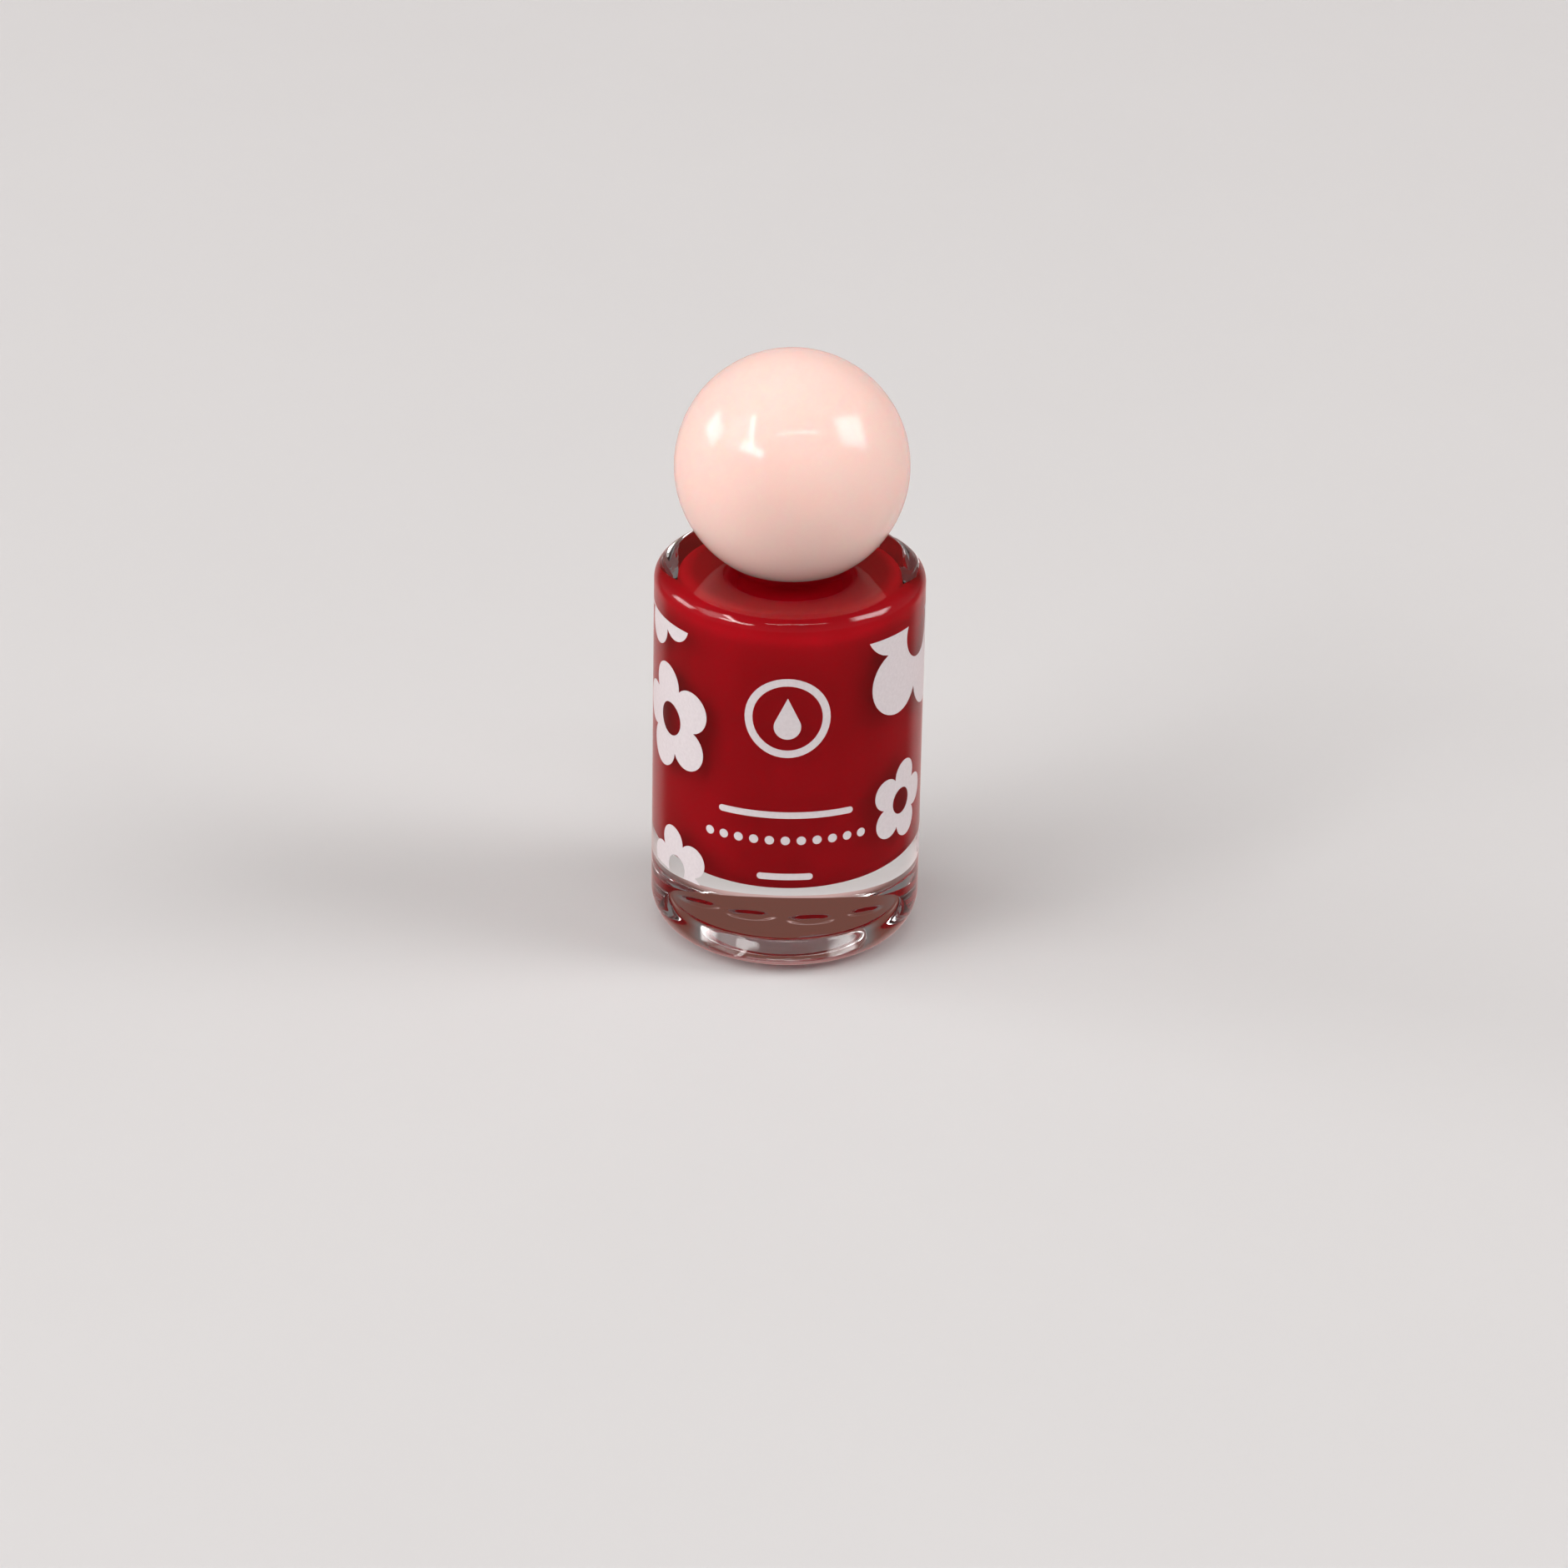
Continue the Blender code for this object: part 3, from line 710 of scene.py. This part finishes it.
def make_bristles(material):
    """Filaments spread evenly by the golden angle, with their tips cut to a dome."""
    draws = np.random.default_rng(11)
    work = bmesh.new()
    for number in range(FILAMENTS):
        share = math.sqrt((number + 0.5) / FILAMENTS)
        turn = number * math.pi * (3 - math.sqrt(5)) + draws.uniform(-0.1, 0.1)
        dome = 1.0 - 0.16 * share ** 2
        add_tube(work, filament_path(share, turn, dome * draws.uniform(0.97, 1.0)), FILAMENT_RADIUS)
    piece = new_piece("bristle_filaments", work, "cap", material)
    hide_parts("bristle_tuft")


def make_brush_load(material):
    """Lacquer held between the filaments, swelling towards the tip."""
    top, bottom = STEM_TIP_Z - 1.0, TUFT_TIP_Z + 0.9
    points = [(0.0, top)]
    steps = 26
    for step in range(1, steps):
        t = step / steps
        radius = TUFT_RADIUS * (0.52 + 0.44 * math.sin(min(t * 1.9, 1.7)))
        tip = math.sqrt(max(0.0, 1 - smooth_step(t, 0.72, 1.0)))
        points.append((radius * smooth_step(t, -0.05, 0.12) * tip, top + (bottom - top) * t))
    points.append((0.0, bottom))

    def shape(r, z, angle):
        ridges = noise.noise(Vector((4 * math.cos(angle), 4 * math.sin(angle), z * 0.25)))
        return r * (1 + 0.1 * ridges), z

    work = turned(points, 72, shape)
    new_piece("lacquer_on_brush", work, "cap", material, 80.0)


def finish_hidden_nodes():
    """The CAD nodes that stay: steel balls in the lacquer and the staple in the stem."""
    steel = steel_material("mixing_steel", 0.08)
    wire = steel_material("staple_wire", 0.22)
    for node, material in (("mixing_ball_1", steel), ("mixing_ball_2", steel), ("brush_staple", wire)):
        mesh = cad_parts[node].data
        mesh.materials.clear()
        mesh.materials.append(material)


# ---------------------------------------------------------------- printed ink


def flower_outline(radius, turn):
    """A plain five-petal blossom: overlapping round petals."""
    petal = radius * PETAL_SHARE
    reach = radius - petal
    points = []
    steps = 24
    for number in range(PETALS * steps):
        angle = 2 * math.pi * number / (PETALS * steps)
        off = (angle + math.pi / PETALS) % (2 * math.pi / PETALS) - math.pi / PETALS
        root = petal ** 2 - (reach * math.sin(off)) ** 2
        edge = reach * math.cos(off) + math.sqrt(max(root, 0.0))
        points.append((edge * math.cos(angle + turn), edge * math.sin(angle + turn)))
    return points


def circle(radius, steps=48):
    angles = [2 * math.pi * step / steps for step in range(steps)]
    return [(radius * math.cos(a), radius * math.sin(a)) for a in angles]


def bar(length, height):
    """A straight rule with round ends."""
    half, radius = (length - height) / 2, height / 2
    right = arc(half, 0.0, radius, -90, 90, 10)
    return right + arc(-half, 0.0, radius, 90, 270, 10)


def drop(radius):
    """A falling drop: a circle drawn out to a point above it."""
    tip = 2.3 * radius
    touch = math.degrees(math.acos(radius / tip))
    return arc(0.0, 0.0, radius, 90 + touch, 450 - touch, 30) + [(0.0, tip)]


def add_motif(work, outline, hole, across, height):
    """Fills an outline, less a hole, and puts it on the unrolled band."""
    edges = []
    for loop in filter(None, (outline, hole)):
        corners = [work.verts.new((across + s, 0.0, height + z)) for s, z in loop]
        edges += [work.edges.new((a, b)) for a, b in zip(corners, corners[1:] + corners[:1])]
    bmesh.ops.triangle_fill(work, edges=edges, use_beauty=True, use_dissolve=False, normal=(0, -1, 0))


def cut_band(work, low, high):
    """Cuts the motifs off at the band's edges and into narrow strips that can bend round the glass."""
    for place, side in ((PRINT_BOTTOM, (0, 0, -1)), (PRINT_TOP, (0, 0, 1))):
        geometry = work.verts[:] + work.edges[:] + work.faces[:]
        bmesh.ops.bisect_plane(work, geom=geometry, plane_co=(0, 0, place), plane_no=side, clear_outer=True)
    for number in range(int((high - low) / STRIP) + 1):
        geometry = work.verts[:] + work.edges[:] + work.faces[:]
        place = low + number * STRIP
        bmesh.ops.bisect_plane(work, geom=geometry, plane_co=(place, 0, 0), plane_no=(1, 0, 0))


def wrap_band(work):
    """Rolls the flat band round the glass and gives the ink its thickness."""
    radius = GLASS_RADIUS - INK_SINK
    for vert in work.verts:
        angle = vert.co.x / GLASS_RADIUS
        vert.co = Vector((radius * math.sin(angle), -radius * math.cos(angle), vert.co.z))
    faces = work.faces[:]
    made = bmesh.ops.extrude_face_region(work, geom=faces, use_keep_orig=True)["geom"]
    for vert in (part for part in made if isinstance(part, bmesh.types.BMVert)):
        grow = (GLASS_RADIUS + INK_THICKNESS) / radius
        vert.co.x *= grow
        vert.co.y *= grow


def print_motifs(name, motifs, material):
    """One printed piece from (outline, hole, distance round the glass, height) motifs."""
    work = bmesh.new()
    for outline, hole, across, height in motifs:
        add_motif(work, outline, hole, across, height)
    places = [vert.co.x for vert in work.verts]
    cut_band(work, min(places), max(places))
    wrap_band(work)
    new_piece(name, work, "bottle", material)


def flower(across, height, radius, turn, hole=FLOWER_HOLE):
    return flower_outline(radius, math.radians(turn)), circle(radius * hole), across, height


def print_flowers(material):
    front = [
        flower(-14.9, 27.4, 6.3, 103.0),
        flower(14.6, 18.3, 4.7, 76.0, 0.32),
        flower(-17.3, 40.9, 5.9, 42.0),
        flower(18.0, 37.2, 10.1, 79.0),
        flower(-13.5, 10.2, 4.8, 105.0),
    ]
    back = [
        flower(30.0, 25.5, 6.2, 90.0),
        flower(41.0, 36.6, 6.4, 60.0),
        flower(54.5, 26.5, 5.6, 100.0),
        flower(42.5, 14.0, 5.0, 80.0),
        flower(24.5, 10.0, 4.6, 100.0),
        flower(60.5, 12.6, 4.4, 70.0),
    ]
    print_motifs("printed_flowers_front", front, material)
    print_motifs("printed_flowers_back", back, material)


def print_label(material):
    """Plain ornament in place of lettering: a drop in a ring, two rules and a row of dots."""
    motifs = [
        (circle(4.6), circle(3.75), 0.0, 31.0),
        (drop(1.45), None, 0.0, 30.0),
        (bar(14.8, 0.75), None, 0.0, 19.6),
        (bar(6.0, 0.75), None, 0.0, 12.3),
    ]
    motifs += [(circle(0.5, 20), None, (number - 5) * 1.7, 16.6) for number in range(11)]
    print_motifs("printed_label", motifs, material)


# ---------------------------------------------------------------- stage


FLOOR_HALF_WIDTH = 3.0


def make_floor():
    """Pale floor, in metres. Mirror reflections pass it by, so it doesn't grey the glass."""
    work = bmesh.new()
    bmesh.ops.create_grid(work, x_segments=8, y_segments=8, size=FLOOR_HALF_WIDTH)
    mesh = bpy.data.meshes.new("studio_floor")
    work.to_mesh(mesh)
    work.free()
    floor = bpy.data.objects.new("studio_floor", mesh)
    bpy.context.collection.objects.link(floor)
    material, tree, shader = new_material("studio_floor")
    colour = blend_colours(tree, noise_field(tree, 60.0), (0.63, 0.62, 0.615), (0.65, 0.64, 0.635))
    paint(tree, shader, "Base Color", colour)
    paint(tree, shader, "Roughness", spread_values(tree, noise_field(tree, 8.0), 0.55, 0.65))
    mesh.materials.append(material)
    floor.visible_glossy = False


def towards(azimuth, elevation):
    """Direction from the object: azimuth 0 is the front and 90 the right."""
    a, e = math.radians(azimuth), math.radians(elevation)
    return Vector((math.sin(a) * math.cos(e), -math.cos(a) * math.cos(e), math.sin(e)))


def dot_with(tree, place, vector):
    node = tree.nodes.new("ShaderNodeVectorMath")
    node.operation = "DOT_PRODUCT"
    node.inputs[1].default_value = vector
    tree.links.new(place, node.inputs[0])
    return node.outputs["Value"]


def calculate(tree, operation, first, second=None):
    node = tree.nodes.new("ShaderNodeMath")
    node.operation = operation
    for socket, value in zip(node.inputs, (first, second)):
        if isinstance(value, (int, float)):
            socket.default_value = value
        elif value is not None:
            tree.links.new(value, socket)
    return node.outputs["Value"]


def fade_out(tree, value, start, end):
    """1 up to start, then a soft fall to 0 at end."""
    node = tree.nodes.new("ShaderNodeMapRange")
    node.interpolation_type = "SMOOTHSTEP"
    node.inputs["From Min"].default_value = start
    node.inputs["From Max"].default_value = end
    node.inputs["To Min"].default_value = 1.0
    node.inputs["To Max"].default_value = 0.0
    tree.links.new(value, node.inputs["Value"])
    return node.outputs["Result"]


def soft_panel(tree, place, azimuth, elevation, half_width, half_height, edge, brightness, lean=0.0):
    """A soft-edged rectangle of light in the studio's surroundings. Sizes are tangents of angles."""
    a, e, turn = math.radians(azimuth), math.radians(elevation), math.radians(lean)
    right = Vector((math.cos(a), math.sin(a), 0.0))
    up = Vector((-math.sin(a) * math.sin(e), math.cos(a) * math.sin(e), math.cos(e)))
    forward = dot_with(tree, place, towards(azimuth, elevation))
    across = dot_with(tree, place, right * math.cos(turn) - up * math.sin(turn))
    along = dot_with(tree, place, up * math.cos(turn) + right * math.sin(turn))
    mask = calculate(tree, "GREATER_THAN", forward, 0.05)
    for offset, half in ((across, half_width), (along, half_height)):
        share = calculate(tree, "ABSOLUTE", calculate(tree, "DIVIDE", offset, forward))
        mask = calculate(tree, "MULTIPLY", mask, fade_out(tree, share, half - edge, half + edge))
    return calculate(tree, "MULTIPLY", mask, brightness)


# Light panels: azimuth, elevation, half width, half height, soft edge, brightness and lean
PANELS = (
    (-103, 21, 0.20, 0.13, 0.07, 6.6, 0),
    (-75, 36, 0.20, 0.26, 0.12, 2.2, -41),
    (-61, 45, 0.035, 0.27, 0.03, 13.0, -41),
    (-48, 31, 0.22, 0.07, 0.05, 11.0, 0),
    (8, 56, 0.36, 0.022, 0.02, 8.0, 0),
    (82, 36, 0.25, 0.22, 0.08, 7.6, 38),
)
# The room's colour by how far up a direction points, from -1 to 1
SURROUNDINGS = (
    (-0.05, (0.26, 0.11, 0.10)),
    (0.05, (0.24, 0.235, 0.23)),
    (0.55, (0.17, 0.17, 0.17)),
    (1.0, (0.08, 0.08, 0.08)),
)
# Behind the object: azimuth and elevation, the cosines where it starts and stops fading, and colour
WARM_BACK = ((180, 24), (0.9, 0.5), (0.16, 0.065, 0.05))
PALE_BACK = ((180, -28), (0.85, 0.62), (0.62, 0.42, 0.4))
BACKDROP_COLOUR = (0.62, 0.62, 0.62)
FILL_DISTANCE = 1.5


def fill_light(name, azimuth, elevation, width, height, brightness):
    """A broad soft light for the matt surfaces alone. brightness is its radiance."""
    light = bpy.data.lights.new(name, "AREA")
    light.shape = "RECTANGLE"
    light.size = width
    light.size_y = height
    light.energy = brightness * math.pi * width * height
    lamp = bpy.data.objects.new(name, light)
    way = towards(azimuth, elevation)
    aim = way.to_track_quat("Z", "Y").to_matrix().to_4x4()
    lamp.matrix_world = Matrix.Translation(way * FILL_DISTANCE) @ aim
    lamp.visible_glossy = False
    bpy.context.collection.objects.link(lamp)


def make_lights():
    fill_light("overhead_fill", -20, 74, 1.2, 1.2, 1.9)
    fill_light("left_fill", -88, 24, 1.0, 0.8, 0.4)


def room_colour(tree, place):
    """A dim room, with a warm dark patch behind the object and a pale one below that."""
    height = dot_with(tree, place, (0.0, 0.0, 1.0))
    ramp = tree.nodes.new("ShaderNodeValToRGB")
    share = calculate(tree, "MULTIPLY", calculate(tree, "ADD", height, 1.0), 0.5)
    tree.links.new(share, ramp.inputs["Fac"])
    stops = ramp.color_ramp.elements
    while len(stops) < len(SURROUNDINGS):
        stops.new(0.5)
    for stop, (rise, colour) in zip(stops, SURROUNDINGS):
        stop.position = (rise + 1) / 2
        stop.color = (*colour, 1.0)
    room = ramp.outputs["Color"]
    for way, reach, colour in (WARM_BACK, PALE_BACK):
        patch = fade_out(tree, dot_with(tree, place, towards(*way)), *reach)
        room = blend_colours(tree, patch, room, colour)
    return room


def make_world():
    """The room with its light panels. Seen straight on, past the floor, it is a plain pale backdrop."""
    world = bpy.data.worlds.new("studio")
    world.use_nodes = True
    tree = world.node_tree
    place = tree.nodes.new("ShaderNodeTexCoord").outputs["Generated"]
    room = room_colour(tree, place)
    light = 0.0
    for panel in PANELS:
        light = calculate(tree, "ADD", soft_panel(tree, place, *panel), light)
    total = tree.nodes.new("ShaderNodeVectorMath")
    total.operation = "ADD"
    tree.links.new(room, total.inputs[0])
    tree.links.new(light, total.inputs[1])
    seen = tree.nodes.new("ShaderNodeLightPath").outputs["Is Camera Ray"]
    shown = blend_colours(tree, seen, total.outputs["Vector"], BACKDROP_COLOUR)
    tree.links.new(shown, tree.nodes["Background"].inputs["Color"])
    bpy.context.scene.world = world


# The camera's place and tilt, worked out from the outlines of the bottle and its ball.
CAMERA_TILT = 26.4
CAMERA_ROLL = 1.05
CAMERA_PLACE = (-0.25, -651.2, 339.4)
FIELD_OF_VIEW = 13.285


def make_camera():
    camera = bpy.data.objects.new("camera", bpy.data.cameras.new("camera"))
    camera.data.sensor_width = 36.0
    camera.data.lens = 18.0 / math.tan(math.radians(FIELD_OF_VIEW / 2))
    camera.data.clip_start = 0.05
    camera.data.clip_end = 20.0
    aim = Euler((math.radians(90 - CAMERA_TILT), 0.0, 0.0)).to_matrix()
    roll = Matrix.Rotation(math.radians(CAMERA_ROLL), 3, "Z")
    camera.rotation_euler = (aim @ roll).to_euler()
    camera.location = Vector(CAMERA_PLACE) * MM
    bpy.context.collection.objects.link(camera)
    bpy.context.scene.camera = camera


def build():
    make_camera()
    make_world()
    make_lights()
    make_floor()
    wet = lacquer_in_air()
    ink = ink_material()
    make_glass(glass_material())
    make_lacquer(lacquer_behind_glass(), wet)
    make_ball(ball_material())
    make_inner_cap(moulded_plastic("inner_cap_plastic", (0.74, 0.72, 0.7), (0.8, 0.79, 0.77), 0.35))
    make_washer(foam_material())
    make_stem(stem_material())
    make_bristles(bristle_material())
    make_brush_load(wet)
    finish_hidden_nodes()
    print_flowers(ink)
    print_label(ink)
    bpy.context.scene.view_settings.view_transform = "Standard"


build()
